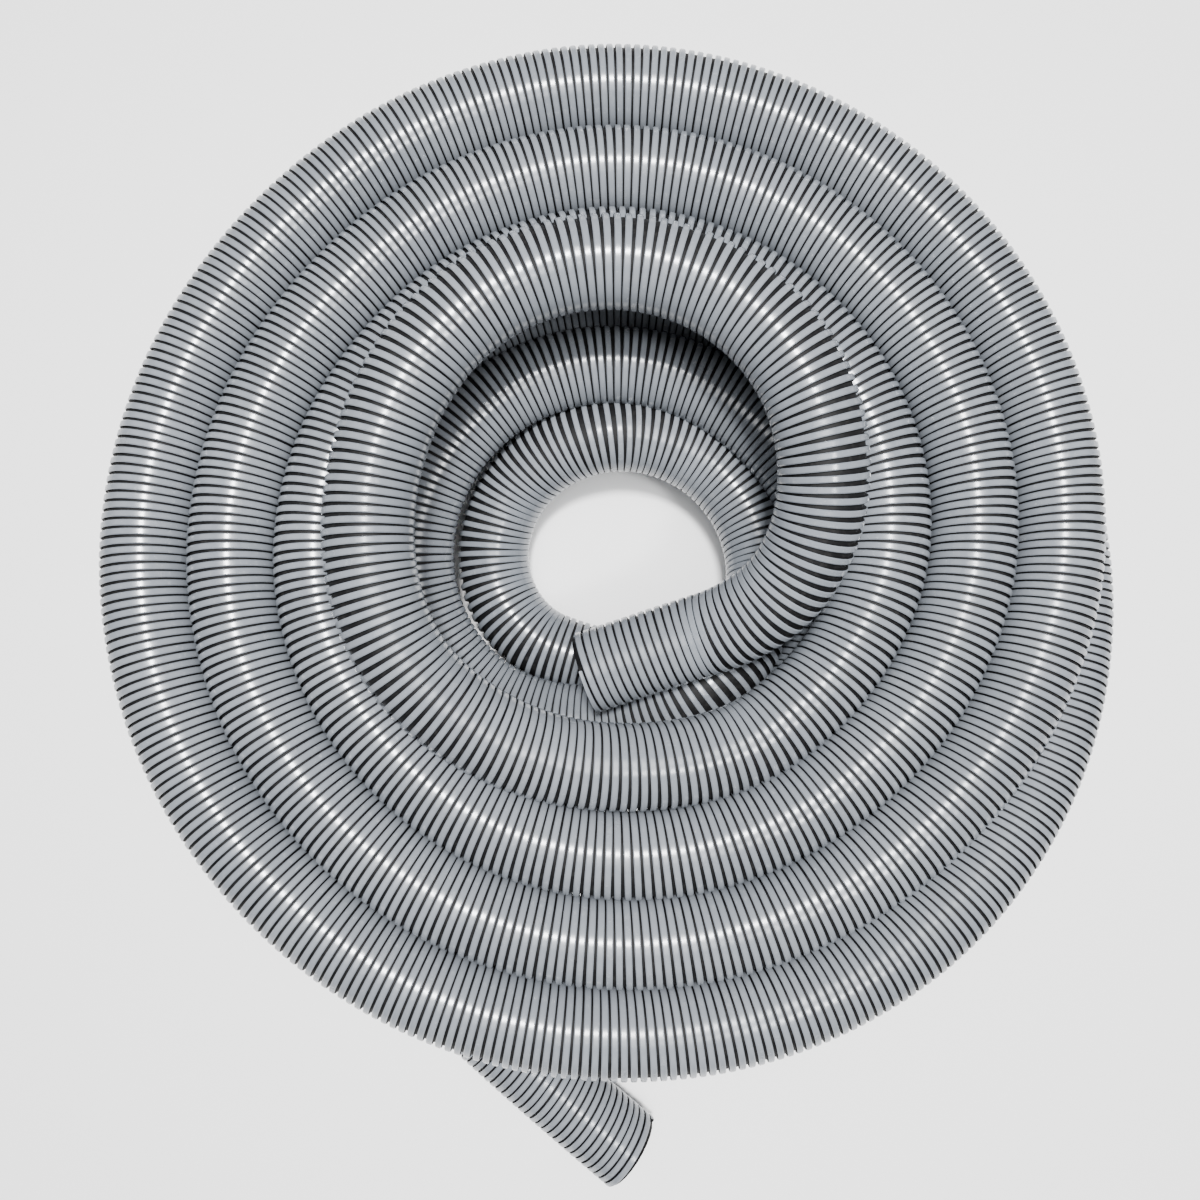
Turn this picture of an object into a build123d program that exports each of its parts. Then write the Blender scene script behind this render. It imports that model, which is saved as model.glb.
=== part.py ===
from build123d import *
from math import cos, pi, radians, sin, tan
import os

# A ribbed vacuum hose, coiled flat in three layers, in millimetres, +Z up.
# One rib is wound round a flexible web from end to end. Seen from above, the hose runs
# clockwise: inwards along the floor, back out in the middle layer and inwards again on top.

# ---- hose section ----
OUTER_RADIUS = 22.0  # over the ribs
WEB_RADIUS = 20.3  # over the web, between the ribs
BORE_RADIUS = 19.05  # 1-1/2 inch bore
RIB_WIDTH = 3.15
END_PITCH = 4.1  # from rib to rib where the hose is slack, as at both ends
END_LENGTH = 40.0  # each straight end that is made rib by rib
END_MARGIN = 0.6  # plain web between the mouth and the last rib

# ---- coil ----
COIL_X, COIL_Y = -10.0, 35.0  # the coil's axis, from the middle of the whole hose
LAYER_HEIGHT = 2 * OUTER_RADIUS
EDGE = 14.0  # rounding of the lower layers' edges
FLOOR_INNER, FLOOR_OUTER = 32.0, 262.0
MIDDLE_INNER, MIDDLE_OUTER = 98.0, 273.0
LOWER_CENTRE = (12.0, 8.0)  # the lower layers stand a little to one side of the axis
TOP_CENTRE = (0.0, 11.0)
TOP_TURNS = [240.0, 196.0, 152.0]  # the three turns of the top layer, at their middles

# ---- free stretches, as points from the coil's axis ----
ARC_SHARE = 0.45  # of the shorter run beside a corner, used by its arc
TAIL = [(18, -335, 22), (-43, -286, 22), (-98, -236, 22), (-145, -182, 22)]
LAST_TURN = [
    (56, -100, 111), (18, -105, 114), (-23, -101, 118), (-61, -85, 125), (-94, -57, 133), (-111, -16, 140),
    (-112, 29, 144), (-99, 75, 148), (-71, 114, 151), (-27, 139, 152), (22, 142, 152), (66, 124, 152),
    (97, 89, 151), (109, 48, 146), (107, 11, 134), (92, -17, 119), (68, -33, 106), (43, -40, 96), (-8, -57, 90),
]  # fmt: skip


def placed(points):
    """Points from the coil's axis, in the hose's own frame."""
    return [Vector(*point) + Vector(COIL_X, COIL_Y, 0) for point in points]


def corner_radius(before, corner, after):
    """The arc at a corner, as large as the runs on both sides allow."""
    into, out = corner - before, after - corner
    return ARC_SHARE * min(into.length, out.length) / tan(radians(into.get_angle(out)) / 2)


def free_path(points, mouth_length):
    """A path of straight runs and tangent arcs that stops mouth_length short of the last point."""
    radii = [corner_radius(*points[i - 1 : i + 2]) for i in range(1, len(points) - 1)]
    print("arc radii:", [round(radius) for radius in radii])
    end = points[-1] - (points[-1] - points[-2]).normalized() * mouth_length
    return FilletPolyline(*points[:-1], end, radius=radii)


def export(part, name):
    part.label = name
    export_step(part, f"parts/{name}.step")


def section_plane(x, y):
    """An upright plane through the coil's axis at x, y, for a section to revolve."""
    return Plane(origin=(x, y, 0), x_dir=(1, 0, 0), z_dir=(0, -1, 0))


os.makedirs("parts", exist_ok=True)

# ---- lower layers: one closed solid each, in the outer shape of its turns ----
lower_layers = {
    "coil_floor": (FLOOR_INNER, FLOOR_OUTER, LAYER_HEIGHT / 2),
    "coil_middle": (MIDDLE_INNER, MIDDLE_OUTER, 3 * LAYER_HEIGHT / 2),
}
coil_x, coil_y = COIL_X + LOWER_CENTRE[0], COIL_Y + LOWER_CENTRE[1]
layers = {}
for name, (inner, outer, height) in lower_layers.items():
    with BuildPart() as lower_layer:
        with BuildSketch(section_plane(coil_x, coil_y)):
            with Locations(((inner + outer) / 2, height)):
                RectangleRounded(outer - inner, LAYER_HEIGHT, EDGE)
        revolve(axis=Axis((coil_x, coil_y, 0), (0, 0, 1)))
    layers[name] = lower_layer.part
    export(layers[name], name)

# ---- top layer: three turns side by side on a flat underside ----
top_x, top_y = COIL_X + TOP_CENTRE[0], COIL_Y + TOP_CENTRE[1]
with BuildPart() as coil_top:
    with BuildSketch(section_plane(top_x, top_y)):
        for turn_radius in TOP_TURNS:
            with Locations((turn_radius, 5 * LAYER_HEIGHT / 2)):
                Circle(OUTER_RADIUS)
        with Locations(((TOP_TURNS[0] + TOP_TURNS[-1]) / 2, 9 * LAYER_HEIGHT / 4)):
            Rectangle(TOP_TURNS[0] - TOP_TURNS[-1], LAYER_HEIGHT / 2)
    revolve(axis=Axis((top_x, top_y, 0), (0, 0, 1)))
layers["coil_top"] = coil_top.part
export(layers["coil_top"], "coil_top")

# ---- the two free stretches: plain hollow tubes that meet the coil where they leave it ----
stretches = {"outer_tail": (TAIL[::-1], "coil_floor"), "last_turn": (LAST_TURN, "coil_top")}
mouths = {}
for name, (points, layer) in stretches.items():
    route = placed(points)
    with BuildPart() as stretch:
        with BuildLine() as line:
            path = free_path(route, END_LENGTH)
        with BuildSketch(Plane(origin=path @ 0, z_dir=path % 0)):
            Circle(OUTER_RADIUS)
            Circle(BORE_RADIUS, mode=Mode.SUBTRACT)
        sweep(path=path)
        wanted = pi * (OUTER_RADIUS**2 - BORE_RADIUS**2) * path.length
        share = stretch.part.volume / wanted
        print(f"{name}: length {path.length:.0f}, volume over section x length {share:.4f}")
        add(layers[layer], mode=Mode.SUBTRACT)
    export(stretch.part, name)
    mouths[name] = (route[-1], (route[-1] - route[-2]).normalized())

# ---- the two straight ends, made as the hose is: a web with one rib wound round it ----
rib_depth = OUTER_RADIUS - WEB_RADIUS
rib_turns = int((END_LENGTH - 2 * END_MARGIN - RIB_WIDTH) / END_PITCH)
for name, stretch_name in (("outer_end", "outer_tail"), ("inner_end", "last_turn")):
    mouth, out = mouths[stretch_name]
    root = Plane(origin=mouth - out * END_LENGTH, z_dir=out)
    with BuildPart() as web:
        with BuildSketch(root):
            Circle(WEB_RADIUS)
            Circle(BORE_RADIUS, mode=Mode.SUBTRACT)
        extrude(amount=END_LENGTH)
    export(web.part, f"{name}_web")

    with BuildPart() as rib:
        with BuildLine():
            winding = Helix(pitch=END_PITCH, height=rib_turns * END_PITCH, radius=WEB_RADIUS)
        with BuildSketch(Plane(origin=winding @ 0, x_dir=(1, 0, 0), z_dir=winding % 0)):
            with Locations((rib_depth / 2, 0)):
                Rectangle(rib_depth, RIB_WIDTH)
        sweep(path=winding, is_frenet=True)
    first_rib = END_LENGTH - END_MARGIN - RIB_WIDTH / 2 - rib_turns * END_PITCH
    export(root.offset(first_rib) * rib.part, f"{name}_rib")
    print(f"{name}: mouth {tuple(round(c, 2) for c in mouth)}, out {tuple(round(c, 5) for c in out)}")
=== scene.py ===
"""A ribbed vacuum hose, coiled flat in three layers: a grey rib wound round a black web."""

import logging
import math
from collections.abc import Callable
from dataclasses import dataclass, field
from enum import Enum

import bmesh
import bpy
import numpy as np
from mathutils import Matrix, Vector

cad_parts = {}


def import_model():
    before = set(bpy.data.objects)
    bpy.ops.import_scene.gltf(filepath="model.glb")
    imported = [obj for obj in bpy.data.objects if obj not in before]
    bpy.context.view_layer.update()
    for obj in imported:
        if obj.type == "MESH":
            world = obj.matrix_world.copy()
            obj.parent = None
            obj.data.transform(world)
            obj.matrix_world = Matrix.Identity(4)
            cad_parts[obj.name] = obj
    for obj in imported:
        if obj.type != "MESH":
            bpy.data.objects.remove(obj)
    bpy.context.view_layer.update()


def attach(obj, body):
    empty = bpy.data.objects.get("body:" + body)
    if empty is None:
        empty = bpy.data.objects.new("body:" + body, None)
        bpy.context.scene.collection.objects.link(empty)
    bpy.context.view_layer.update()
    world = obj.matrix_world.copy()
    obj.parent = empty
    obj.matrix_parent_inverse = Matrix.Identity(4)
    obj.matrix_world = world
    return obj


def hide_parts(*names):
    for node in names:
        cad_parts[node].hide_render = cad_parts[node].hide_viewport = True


log = logging.getLogger("hose")

MILLIMETRE = 0.001
BODY = "root"
MERGE_DISTANCE = 1e-7

Points = tuple[tuple[float, float, float], ...]
Placer = Callable[[np.ndarray, np.ndarray], np.ndarray]


class Layer(Enum):
    """The height of the hose's middle in each layer of the coil, in millimetres."""

    FLOOR = 22.0
    MIDDLE = 66.0
    TOP = 110.0


@dataclass(frozen=True)
class HoseSize:
    """The section of the hose, in metres."""

    outer_radius: float = 22.0 * MILLIMETRE
    web_radius: float = 20.3 * MILLIMETRE
    bore_radius: float = 19.05 * MILLIMETRE
    rib_width: float = 3.15 * MILLIMETRE
    length: float = 12.9

    @property
    def wall(self) -> float:
        """The web's thickness."""
        return self.web_radius - self.bore_radius


@dataclass(frozen=True)
class Turn:
    """One turn of the coil, clockwise from the left, given at every eighth.

    Args:
        name: What the rib on this turn is called.
        radii: Millimetres from the coil's axis to the hose's middle.
        heights: Millimetres from the floor to the hose's middle, or the layer it lies in.
    """

    name: str
    radii: tuple[float, ...]
    heights: tuple[float, ...] | Layer

    def keys(self) -> list[np.ndarray]:
        """Radius and height at every eighth."""
        if isinstance(self.heights, Layer):
            return [np.array((radius, self.heights.value)) for radius in self.radii]
        return [np.array(key) for key in zip(self.radii, self.heights, strict=True)]


COIL = (
    Turn("floor_turn_1", (231, 238, 236, 234, 227, 212, 199, 188), Layer.FLOOR),
    Turn("floor_turn_2", (187, 187, 188, 190, 183, 165, 143, 138), Layer.FLOOR),
    Turn("floor_turn_3", (137, 139, 142, 146, 138, 90, 50, 53), Layer.FLOOR),
    Turn("centre_turn", (64, 76, 84, 95, 97, 88, 84, 96), (22, 31, 48, 40, 44, 66, 46, 45)),
    Turn("middle_turn_1", (106, 114, 121, 125, 132, 133, 134, 140), (57, 64, 66, 66, 66, 66, 66, 66)),
    Turn("middle_turn_2", (150, 158, 165, 169, 176, 177, 178, 184), Layer.MIDDLE),
    Turn("middle_turn_3", (194, 202, 209, 213, 220, 221, 222, 229), Layer.MIDDLE),
    Turn("outer_climb", (238, 246, 253, 257, 264, 249, 233, 228), (66, 66, 66, 66, 68, 100, 110, 110)),
    Turn("top_turn_1", (234, 242, 258, 253.5, 236.5, 206, 190, 184.5), Layer.TOP),
    Turn("top_turn_2", (190, 197, 213, 209, 192, 163, 147, 141.5), Layer.TOP),
    Turn("top_turn_3", (146, 152, 168, 164, 147, 121), Layer.TOP),
)

# From the coil's axis, in millimetres, each list from its cut end or towards it.
OUTER_TAIL: Points = (
    (18, -335, 22),
    (-43, -286, 22),
    (-98, -236, 22),
    (-145, -182, 22),
    (-191, -129, 22),
    (-222, -64, 22),
)
LAST_TURN: Points = (
    (56, -100, 111),
    (18, -105, 114),
    (-23, -101, 118),
    (-61, -85, 125),
    (-94, -57, 133),
    (-111, -16, 140),
    (-112, 29, 144),
    (-99, 75, 148),
    (-71, 114, 151),
    (-27, 139, 152),
    (22, 142, 152),
    (66, 124, 152),
    (97, 89, 151),
    (109, 48, 146),
    (107, 11, 134),
    (92, -17, 119),
    (68, -33, 106),
    (43, -40, 96),
    (-8, -57, 90),
)


class Centreline:
    """The hose's middle line, with a frame that moves along it without twisting."""

    DIRECTION_WINDOW = 5
    BEND_WINDOW = 41

    def __init__(self, points: np.ndarray, step: float = 2.0 * MILLIMETRE) -> None:
        """Spaces the line's points evenly and carries the frame along them.

        Args:
            points: The line's points, in metres.
            step: About how far apart the frames are, in metres.
        """
        travelled = self.travelled_along(points)
        self.length = float(travelled[-1])
        self.distances = np.linspace(0.0, self.length, int(self.length / step) + 1)
        self.centres = np.column_stack([np.interp(self.distances, travelled, axis) for axis in points.T])
        along = self._unit(np.gradient(self.centres, axis=0))
        self.alongs = self._unit(self._averaged(along, self.DIRECTION_WINDOW))
        self.sides = self._carried(self.alongs)
        turning = np.linalg.norm(np.gradient(self.alongs, self.distances, axis=0), axis=1)
        self.bends = self._averaged(turning[:, None], self.BEND_WINDOW)[:, 0]

    @staticmethod
    def travelled_along(points: np.ndarray) -> np.ndarray:
        """The distance along the line to each point."""
        return np.concatenate(([0.0], np.cumsum(np.linalg.norm(np.diff(points, axis=0), axis=1))))

    @staticmethod
    def _unit(vectors: np.ndarray) -> np.ndarray:
        """The vectors at length 1."""
        return vectors / np.linalg.norm(vectors, axis=-1, keepdims=True)

    @staticmethod
    def _averaged(values: np.ndarray, window: int) -> np.ndarray:
        """A running mean of each column, with the ends held."""
        padded = np.pad(values, ((window // 2, window // 2), (0, 0)), mode="edge")
        even = np.ones(window) / window
        return np.column_stack([np.convolve(column, even, mode="valid") for column in padded.T])

    @staticmethod
    def _carried(alongs: np.ndarray) -> np.ndarray:
        """A side direction at each point, turned only as far as the line turns."""
        side = np.cross(alongs[0], (0.0, 0.0, 1.0))
        sides = [side / np.linalg.norm(side)]
        for along in alongs[1:]:
            side = sides[-1] - along * np.dot(sides[-1], along)
            sides.append(side / np.linalg.norm(side))
        return np.array(sides)

    def at(self, table: np.ndarray, distance: np.ndarray) -> np.ndarray:
        """The table's vectors at these distances along the line."""
        return np.column_stack([np.interp(distance, self.distances, column) for column in table.T])

    def section(
        self, distance: np.ndarray, angle: np.ndarray, radius: np.ndarray, ahead: np.ndarray
    ) -> np.ndarray:
        """Points round the hose.

        Args:
            distance: How far along the middle line each point's section is.
            angle: How far round the section, in radians.
            radius: How far out from the middle.
            ahead: How far in front of the section.

        Returns:
            The points, one row each.
        """
        along = self._unit(self.at(self.alongs, distance))
        side = self.at(self.sides, distance)
        side = self._unit(side - along * np.sum(side * along, axis=1, keepdims=True))
        over = np.cross(along, side)
        outward = np.cos(angle)[:, None] * side + np.sin(angle)[:, None] * over
        return self.at(self.centres, distance) + radius[:, None] * outward + ahead[:, None] * along


@dataclass
class Route:
    """The way that the hose lies, from its outer end to its inner end."""

    coil_axis: tuple[float, float] = (-10.0, 35.0)
    first_angle: float = 180.0
    eighth: float = 45.0
    samples: int = 24
    starts: dict[str, float] = field(default_factory=dict)

    def coil_points(self) -> list[tuple[float, float, float]]:
        """The coil's turns, sixteen points each, from the coil's axis in millimetres."""
        keys = [key for turn in COIL for key in turn.keys()]
        stand_out = 1.0 / math.cos(math.radians(self.eighth / 4))
        points = []
        for i, key in enumerate(keys):
            angle = self.first_angle - i * self.eighth
            points.append(self._on_coil(key, angle, stand_out))
            if i + 1 < len(keys):
                before, after = keys[max(i - 1, 0)], keys[min(i + 2, len(keys) - 1)]
                halfway = (9 * (key + keys[i + 1]) - before - after) / 16
                points.append(self._on_coil(halfway, angle - self.eighth / 2, stand_out))
        return points

    @staticmethod
    def _on_coil(key: np.ndarray, angle: float, stand_out: float) -> tuple[float, float, float]:
        """The point at a radius and height, so far out that the smooth line keeps the radius."""
        turned = math.radians(angle)
        return (key[0] * stand_out * math.cos(turned), key[0] * stand_out * math.sin(turned), key[1])

    def control_points(self) -> np.ndarray:
        """Every point of the route, in the hose's own frame in metres."""
        points = np.array([*OUTER_TAIL, *self.coil_points(), *LAST_TURN], dtype=float)
        points[:, :2] += self.coil_axis
        return points * MILLIMETRE

    def smooth_line(self) -> np.ndarray:
        """Points read from one smooth spline through the route."""
        control = self.control_points()
        curve = bpy.data.curves.new("route", "CURVE")
        curve.dimensions = "3D"
        curve.resolution_u = self.samples
        spline = curve.splines.new("NURBS")
        spline.points.add(len(control) - 1)
        for point, place in zip(spline.points, control, strict=True):
            point.co = (*place, 1.0)
        spline.order_u = 3
        spline.use_endpoint_u = True
        holder = bpy.data.objects.new("route", curve)
        mesh = bpy.data.meshes.new_from_object(holder)
        line = np.empty(3 * len(mesh.vertices))
        mesh.vertices.foreach_get("co", line)
        bpy.data.meshes.remove(mesh)
        bpy.data.objects.remove(holder)
        bpy.data.curves.remove(curve)
        return line.reshape(-1, 3)

    def lay(self) -> Centreline:
        """Lays the hose and notes how far along it each turn starts.

        Returns:
            The hose's middle line.
        """
        line = self.smooth_line()
        travelled = Centreline.travelled_along(line)
        spans = len(self.control_points()) - 2
        first_points = [len(OUTER_TAIL)]
        for turn in COIL:
            first_points.append(first_points[-1] + 2 * len(turn.radii))
        names = [*(turn.name for turn in COIL), "last_turn"]
        self.starts["outer_tail"] = 0.0
        for name, first_point in zip(names, first_points, strict=True):
            # the smooth line has one span for each control point between the ends
            vertex = (first_point - 0.5) / spans * (len(line) - 1)
            self.starts[name] = float(np.interp(vertex, np.arange(len(line)), travelled))
        return Centreline(line)


class Shade:
    """One shader value. Python's operators on it add Math nodes."""

    def __init__(self, sheet: "ShaderSheet", socket: bpy.types.NodeSocket) -> None:
        """Wraps a node's output socket."""
        self.sheet = sheet
        self.socket = socket

    def _maths(self, operation: str, first: "Shade | float", second: "Shade | float") -> "Shade":
        """The result of one Math node."""
        return self.sheet.node("ShaderNodeMath", {"operation": operation}, {0: first, 1: second})

    def __add__(self, other: "Shade | float") -> "Shade":
        """The sum."""
        return self._maths("ADD", self, other)

    def __radd__(self, other: float) -> "Shade":
        """The sum, number first."""
        return self._maths("ADD", other, self)

    def __mul__(self, other: "Shade | float") -> "Shade":
        """The product."""
        return self._maths("MULTIPLY", self, other)

    def __rmul__(self, other: float) -> "Shade":
        """The product, number first."""
        return self._maths("MULTIPLY", other, self)


class ShaderSheet:
    """The nodes of one material."""

    def __init__(self, name: str) -> None:
        """Starts a material with only its output and its main shader.

        Args:
            name: The material's name.
        """
        self.material = bpy.data.materials.new(name)
        self.material.use_nodes = True
        self.tree = self.material.node_tree
        self.shader = self.tree.nodes["Principled BSDF"]

    def node(
        self,
        kind: str,
        settings: dict[str, object] | None = None,
        inputs: dict[str | int, object] | None = None,
        output: str | int = 0,
    ) -> Shade:
        """Adds a node.

        Args:
            kind: The node's type.
            settings: Its properties; "stops" are a colour ramp's positions and colours.
            inputs: The value or the link of each socket.
            output: Which output to give back.

        Returns:
            The chosen output.
        """
        added = self.tree.nodes.new(kind)
        for key, value in (settings or {}).items():
            if key == "stops":
                self._set_stops(added.color_ramp, value)
            else:
                setattr(added, key, value)
        for key, value in (inputs or {}).items():
            self.feed(added.inputs[key], value)
        return Shade(self, added.outputs[output])

    @staticmethod
    def _set_stops(ramp: bpy.types.ColorRamp, stops: list[tuple[float, float]]) -> None:
        """Gives a ramp grey stops, as (position, brightness)."""
        while len(ramp.elements) < len(stops):
            ramp.elements.new(0.5)
        for element, (position, level) in zip(ramp.elements, stops, strict=True):
            element.position = position
            element.color = (level, level, level, 1.0)

    def feed(self, socket: bpy.types.NodeSocket, value: object) -> None:
        """Links a Shade to a socket, or sets a plain value on it."""
        if isinstance(value, Shade):
            self.tree.links.new(value.socket, socket)
        else:
            socket.default_value = value

    def surface(self, **sockets: object) -> None:
        """Feeds the main shader, sockets named with _ for a space."""
        for name, value in sockets.items():
            self.feed(self.shader.inputs[name.replace("_", " ")], value)

    def place(self) -> Shade:
        """Where a point is on the piece."""
        return self.node("ShaderNodeTexCoord", output="Object")

    def noise(self, scale: float, detail: float = 2.0, roughness: float = 0.5) -> Shade:
        """Soft noise, 0 to 1.

        Args:
            scale: Lumps in a metre.
            detail: How many finer layers.
            roughness: How strong the finer layers are.

        Returns:
            The noise's level.
        """
        settings = {"Vector": self.place(), "Scale": scale, "Detail": detail, "Roughness": roughness}
        return self.node("ShaderNodeTexNoise", inputs=settings, output=0)

    def ramp(self, level: Shade, stops: list[tuple[float, float]]) -> Shade:
        """A level spread between grey stops."""
        return self.node("ShaderNodeValToRGB", {"stops": stops}, {"Fac": level})

    def mixed(self, share: Shade | float, first: object, second: object) -> Shade:
        """A colour between two colours."""
        inputs = {"Factor": share, 6: first, 7: second}
        return self.node("ShaderNodeMix", {"data_type": "RGBA"}, inputs, output=2)

    def bump(self, height: Shade, strength: float, depth: float) -> Shade:
        """A normal that a height pushes about.

        Args:
            height: The height, 0 to 1.
            strength: How much of it shows.
            depth: What a height of 1 is, in metres.

        Returns:
            The normal.
        """
        return self.node("ShaderNodeBump", inputs={"Strength": strength, "Distance": depth, "Height": height})


@dataclass(frozen=True)
class RibFinish:
    """Satin grey moulded plastic, a little uneven in shade, with light scuffs."""

    shade: tuple[float, float, float, float] = (0.138, 0.151, 0.170, 1.0)
    pale: tuple[float, float, float, float] = (0.170, 0.184, 0.204, 1.0)
    dust: tuple[float, float, float, float] = (0.38, 0.37, 0.35, 1.0)
    fleck_share: float = 0.25
    scuff_share: float = 0.12
    gloss_roughness: float = 0.2
    scuff_roughness: float = 0.14
    batch_roughness: float = 0.04
    grain_depth: float = 0.05 * MILLIMETRE

    def material(self) -> bpy.types.Material:
        """Builds the finish."""
        sheet = ShaderSheet("grey_rib_plastic")
        batches = sheet.ramp(sheet.noise(14.0, 3.0), [(0.3, 0.0), (0.7, 1.0)])
        flecks = sheet.ramp(sheet.noise(900.0, 2.0, 0.6), [(0.62, 0.0), (0.78, 1.0)])
        scuffs = sheet.ramp(sheet.noise(120.0, 6.0, 0.75), [(0.56, 0.0), (0.74, 1.0)])
        plastic = sheet.mixed(batches, self.shade, self.pale)
        dusty = sheet.mixed(flecks * self.fleck_share + scuffs * self.scuff_share, plastic, self.dust)
        sheet.surface(
            Base_Color=dusty,
            Roughness=self.gloss_roughness + scuffs * self.scuff_roughness + batches * self.batch_roughness,
            Normal=sheet.bump(sheet.noise(1500.0, 3.0), strength=0.25, depth=self.grain_depth),
        )
        return sheet.material


@dataclass(frozen=True)
class WebFinish:
    """Matt black soft plastic, with dust lying in it. It also goes on the rib's sides as painted shade that
    darkens the gaps between the ribs.
    """

    black_and_painted_shade: tuple[float, float, float, float] = (0.004, 0.004, 0.0045, 1.0)
    dust: tuple[float, float, float, float] = (0.018, 0.0175, 0.017, 1.0)
    roughness: float = 0.6
    dust_roughness: float = 0.3
    sheen: float = 0.15
    grain_depth: float = 0.1 * MILLIMETRE

    def material(self) -> bpy.types.Material:
        """Builds the finish."""
        sheet = ShaderSheet("black_web_plastic_and_painted_rib_shade")
        dust = sheet.ramp(sheet.noise(260.0, 4.0, 0.7), [(0.5, 0.0), (0.8, 1.0)])
        sheet.surface(
            Base_Color=sheet.mixed(dust, self.black_and_painted_shade, self.dust),
            Roughness=self.roughness + dust * self.dust_roughness,
            Specular_IOR_Level=self.sheen,
            Normal=sheet.bump(sheet.noise(700.0, 2.0), strength=0.3, depth=self.grain_depth),
        )
        return sheet.material


@dataclass(frozen=True)
class FloorFinish:
    """A plain pale floor."""

    colour: tuple[float, float, float, float] = (0.86, 0.86, 0.86, 1.0)
    roughness: float = 0.9

    def material(self) -> bpy.types.Material:
        """Builds the finish."""
        sheet = ShaderSheet("pale_floor")
        sheet.surface(Base_Color=self.colour, Roughness=self.roughness)
        return sheet.material


def swept_piece(
    name: str, rows: int, columns: int, place: Placer, capped: bool, slots: tuple[int, ...] = ()
) -> bpy.types.Object:
    """Bends a flat grid round a line into a long closed-in piece.

    Args:
        name: The piece's name.
        rows: Steps along the line.
        columns: Steps round the section, whose two edges are joined.
        place: Gives the points for these rows and columns.
        capped: Whether the two ends are filled.
        slots: Which material each column of faces has, where the columns meet at sharp corners.

    Returns:
        The piece, linked to the scene.
    """
    grid = bmesh.new()
    grid.loops.layers.uv.new("UVMap")
    bmesh.ops.create_grid(grid, x_segments=rows, y_segments=columns, size=1.0, calc_uvs=True)
    if slots:
        for face in grid.faces:
            face.material_index = slots[int((face.calc_center_median().y + 1) / 2 * columns)]
        for edge in grid.edges:
            edge.smooth = abs(edge.verts[0].co.y - edge.verts[1].co.y) > 0.5 / columns
    flat = np.array([vertex.co[:2] for vertex in grid.verts])
    row = np.rint((flat[:, 0] + 1) / 2 * rows).astype(int)
    column = np.rint((flat[:, 1] + 1) / 2 * columns).astype(int) % columns
    mesh = bpy.data.meshes.new(name)
    grid.to_mesh(mesh)
    mesh.vertices.foreach_set("co", place(row, column).ravel())
    grid.clear()
    grid.from_mesh(mesh)
    bmesh.ops.remove_doubles(grid, verts=grid.verts, dist=MERGE_DISTANCE)
    for face in grid.faces:
        face.smooth = True
    if capped:
        rims = [edge for edge in grid.edges if edge.is_boundary]
        bmesh.ops.holes_fill(grid, edges=rims, sides=columns)
        for edge in rims:
            edge.smooth = False
    bmesh.ops.recalc_face_normals(grid, faces=grid.faces)
    grid.to_mesh(mesh)
    grid.free()
    piece = bpy.data.objects.new(name, mesh)
    bpy.context.collection.objects.link(piece)
    return piece


@dataclass
class Web:
    """The flexible tube under the rib, open at both ends."""

    size: HoseSize
    line: Centreline
    ring_spacing: float = 8.5 * MILLIMETRE
    sides: int = 24

    def build(self) -> bpy.types.Object:
        """Makes the web over the hose's whole length.

        Returns:
            The web.
        """
        rings = int(self.line.length / self.ring_spacing)

        def place(row: np.ndarray, column: np.ndarray) -> np.ndarray:
            """Points on the web's outside."""
            angle = 2 * math.pi * column / self.sides
            radius = np.full(len(row), self.size.web_radius)
            return self.line.section(row / rings * self.line.length, angle, radius, np.zeros(len(row)))

        web = swept_piece("web", rings, self.sides, place, capped=False)
        wall = web.modifiers.new("wall", "SOLIDIFY")
        wall.thickness = self.size.wall
        wall.offset = -1.0
        return web

    def dress(self, web: bpy.types.Object, material: bpy.types.Material) -> None:
        """Gives the web its finish and its place in the frame."""
        web.data.materials.append(material)
        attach(web, BODY)
        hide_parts("outer_end_web", "inner_end_web", "outer_tail", "last_turn")


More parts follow.
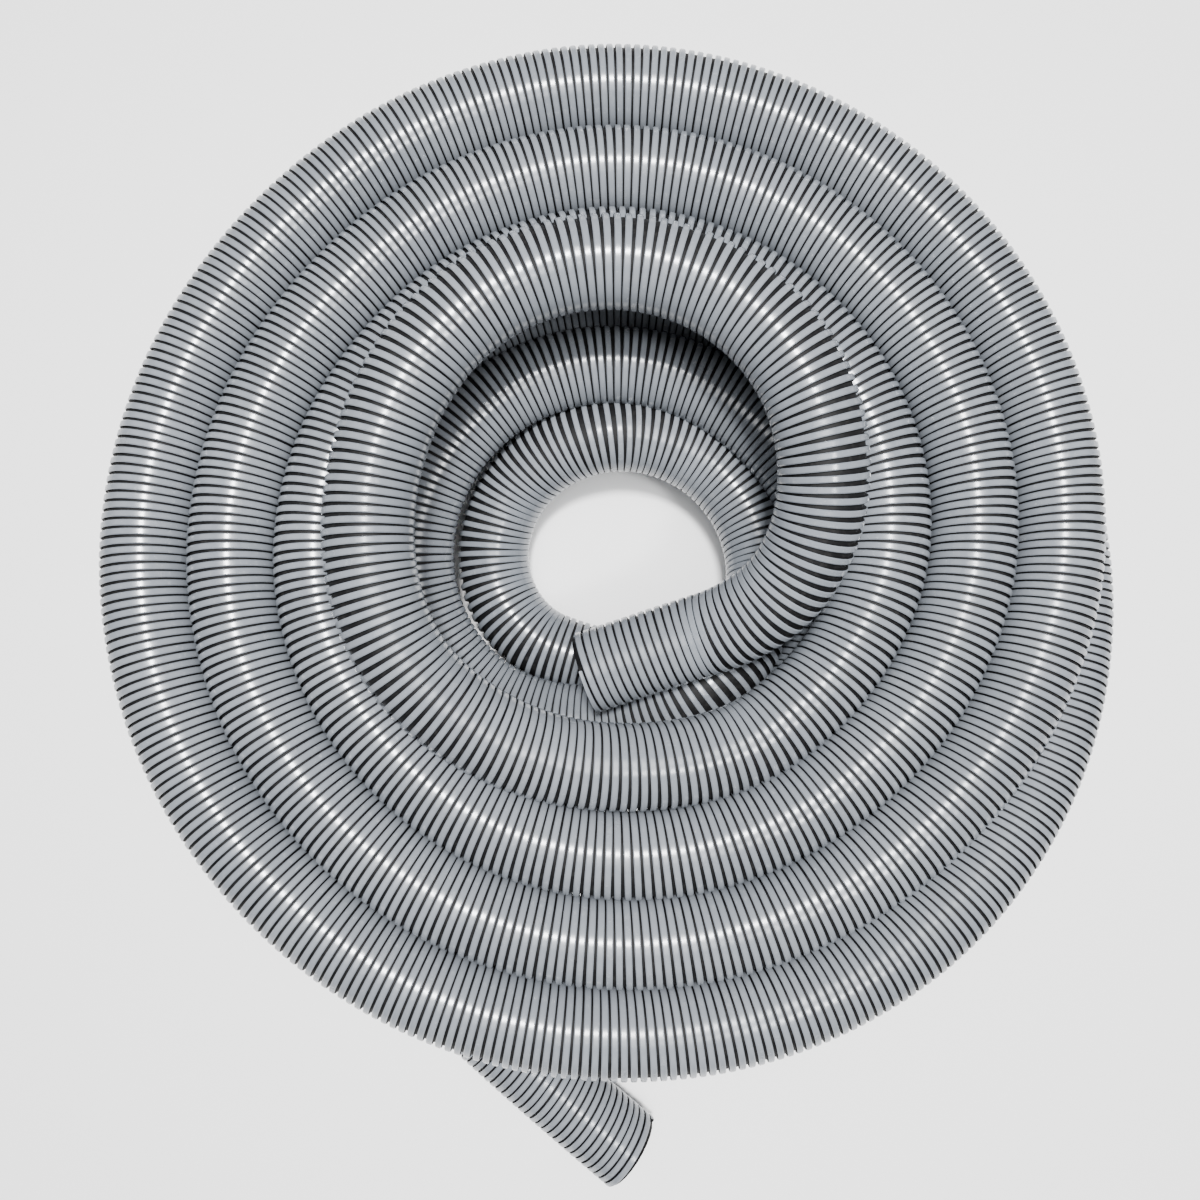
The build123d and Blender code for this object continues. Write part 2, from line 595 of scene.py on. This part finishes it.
@dataclass
class Rib:
    """The one stiff strip wound round the web from end to end, made turn by turn."""

    size: HoseSize
    line: Centreline
    steps: int = 32
    slack_pitch: float = 4.25 * MILLIMETRE
    opening: float = 0.62
    unevenness: float = 0.1 * MILLIMETRE
    seed: int = 4
    sunk: float = 0.25 * MILLIMETRE
    shoulder_drop: float = 0.42 * MILLIMETRE
    shoulder_width: float = 0.5 * MILLIMETRE

    def __post_init__(self) -> None:
        """Works out how far round the rib is at each place along the hose."""
        stretch = 1 + self.opening * self.size.outer_radius * self.line.bends
        pitch = self.slack_pitch * stretch
        between = (1 / pitch[1:] + 1 / pitch[:-1]) / 2 * np.diff(self.line.distances)
        self.wound = np.concatenate(([0.0], np.cumsum(between)))
        turns = int(self.wound[-1]) + 2
        self.strays = np.random.default_rng(self.seed).normal(0.0, self.unevenness, turns)

    def profile(self) -> np.ndarray:
        """The rib's section: how far ahead of its middle and how far from the hose's middle."""
        half = self.size.rib_width / 2
        top = self.size.outer_radius
        bottom = self.size.web_radius - self.sunk
        crest = half - self.shoulder_width
        right = [(half, bottom), (half, top - self.shoulder_drop), (crest, top)]
        left = [(-ahead, radius) for ahead, radius in reversed(right)]
        return np.array(right + left)

    def build(self, name: str, start: float, end: float) -> bpy.types.Object:
        """Winds the rib over one stretch of the hose.

        Args:
            name: The stretch's name.
            start: Where it begins, in metres along the hose.
            end: Where it ends.

        Returns:
            The rib there.
        """
        first, last = (
            round(self.steps * float(np.interp(distance, self.line.distances, self.wound)))
            for distance in (start, end)
        )
        profile = self.profile()

        def place(row: np.ndarray, column: np.ndarray) -> np.ndarray:
            """Points on the rib, cut square where they would pass either end of the hose."""
            turns = (first + row) / self.steps
            distance = np.interp(turns, self.wound, self.line.distances)
            distance += np.interp(turns, np.arange(len(self.strays)), self.strays)
            distance = np.clip(distance, 0.0, self.line.length)
            cut = np.clip(distance + profile[column, 0], 0.0, self.line.length)
            return self.line.section(distance, 2 * math.pi * turns, profile[column, 1], cut - distance)

        # the rib's sides take the black web finish: painted shade that darkens the gaps between the ribs
        grey, black_and_painted_shade = 0, 1
        slots = (black_and_painted_shade, grey, grey, grey, black_and_painted_shade, black_and_painted_shade)
        return swept_piece(f"rib_{name}", last - first, len(profile), place, capped=True, slots=slots)

    def dress(self, piece: bpy.types.Object, materials: list[bpy.types.Material], *nodes: str) -> None:
        """Gives a stretch of the rib its finishes, grey on top and black on its sides as painted shade in the
        gaps between ribs, and its place in the frame.
        """
        for material in materials:
            piece.data.materials.append(material)
        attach(piece, BODY)
        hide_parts(*nodes)


@dataclass
class Hose:
    """The whole hose, laid in its coil."""

    size: HoseSize = field(default_factory=HoseSize)
    route: Route = field(default_factory=Route)

    @staticmethod
    def nodes_under(name: str) -> tuple[str, ...]:
        """The frame's nodes that a stretch of the rib stands for."""
        if name == "outer_tail":
            return ("outer_tail", "outer_end_rib")
        if name == "last_turn":
            return ("last_turn", "inner_end_rib")
        if name.startswith("floor"):
            return ("coil_floor",)
        return ("coil_top",) if name.startswith("top") else ("coil_middle",)

    def build(self) -> None:
        line = self.route.lay()
        log.info("hose laid, %.3f m long", line.length)
        web_maker = Web(self.size, line)
        web = web_maker.build()
        # the black web finish also goes on the rib's sides, as painted shade in the gaps between ribs
        black_and_painted_shade = WebFinish().material()
        web_maker.dress(web, black_and_painted_shade)
        log.info("web: %d faces", len(web.data.polygons))

        rib_maker = Rib(self.size, line)
        grey = RibFinish().material()
        names = list(self.route.starts)
        bounds = [*self.route.starts.values(), line.length]
        for name, start, end in zip(names, bounds, bounds[1:], strict=False):
            piece = rib_maker.build(name, start, end)
            rib_maker.dress(piece, [grey, black_and_painted_shade], *self.nodes_under(name))
            log.info("%s: %.2f m, %d faces", piece.name, end - start, len(piece.data.polygons))


@dataclass
class Studio:
    """The floor, the lights and the camera."""

    camera_place: tuple[float, float, float] = (-0.010, -0.0229, 0.5592)
    camera_tilt: float = 4.9
    lens: float = 26.25
    floor_size: float = 6.0
    key_place: tuple[float, float, float] = (-0.01, 0.22, 1.7)
    key_size: float = 0.2
    key_power: float = 62.0
    glint_place: tuple[float, float, float] = (0.5, -0.36, 1.66)
    glint_power: float = 16.0
    overhead_place: tuple[float, float, float] = (0.0, 0.0, 1.5)
    overhead_size: float = 1.0
    overhead_power: float = 20.0
    fill_places: dict[str, tuple[float, float, float]] = field(
        default_factory=lambda: {
            "fill_left": (-1.3, 0.5, 1.1),
            "fill_right": (1.3, 0.5, 1.1),
            "fill_front": (0.0, -1.4, 1.1),
        }
    )
    fill_size: float = 0.9
    fill_power: float = 3.0
    lit_point: tuple[float, float, float] = (0.0, 0.03, 0.1)
    sky: float = 0.16

    def build(self) -> None:
        """Sets up the floor, the lights and the camera."""
        self.floor()
        self.light("key", self.key_place, self.key_size, self.key_power)
        self.light("glint", self.glint_place, self.key_size, self.glint_power)
        self.light("overhead", self.overhead_place, self.overhead_size, self.overhead_power)
        for name, place in self.fill_places.items():
            self.light(name, place, self.fill_size, self.fill_power)
        self.world()
        self.camera()

    def floor(self) -> None:
        """Lays the floor that the hose lies on."""
        grid = bmesh.new()
        bmesh.ops.create_grid(grid, x_segments=1, y_segments=1, size=self.floor_size / 2)
        mesh = bpy.data.meshes.new("floor")
        grid.to_mesh(mesh)
        grid.free()
        floor = bpy.data.objects.new("floor", mesh)
        bpy.context.collection.objects.link(floor)
        mesh.materials.append(FloorFinish().material())

    def light(self, name: str, place: tuple[float, float, float], size: float, power: float) -> None:
        """Hangs a square lamp that points at the coil.

        Args:
            name: The lamp's name.
            place: Where it hangs, in metres.
            size: Its width, in metres.
            power: Its power, in watts.
        """
        lamp = bpy.data.lights.new(name, "AREA")
        lamp.size = size
        lamp.energy = power
        holder = bpy.data.objects.new(name, lamp)
        holder.location = place
        aim = Vector(self.lit_point) - Vector(place)
        holder.rotation_euler = aim.to_track_quat("-Z", "Y").to_euler()
        bpy.context.collection.objects.link(holder)

    def world(self) -> None:
        """Lights the room evenly."""
        world = bpy.data.worlds.new("room")
        world.use_nodes = True
        background = world.node_tree.nodes["Background"]
        background.inputs["Color"].default_value = (1.0, 1.0, 1.0, 1.0)
        background.inputs["Strength"].default_value = self.sky
        bpy.context.scene.world = world

    def camera(self) -> None:
        """Looks down on the coil, a little away from straight down."""
        camera = bpy.data.cameras.new("camera")
        camera.lens = self.lens
        camera.sensor_width = 36.0
        camera.clip_start = 0.01
        holder = bpy.data.objects.new("camera", camera)
        holder.location = self.camera_place
        holder.rotation_euler = (math.radians(self.camera_tilt), 0.0, 0.0)
        bpy.context.collection.objects.link(holder)
        bpy.context.scene.camera = holder


def main() -> None:
    """Builds the hose and its studio on the frame."""
    logging.basicConfig(level=logging.INFO, format="%(message)s")
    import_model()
    Hose().build()
    Studio().build()


if __name__ == "__main__":
    main()
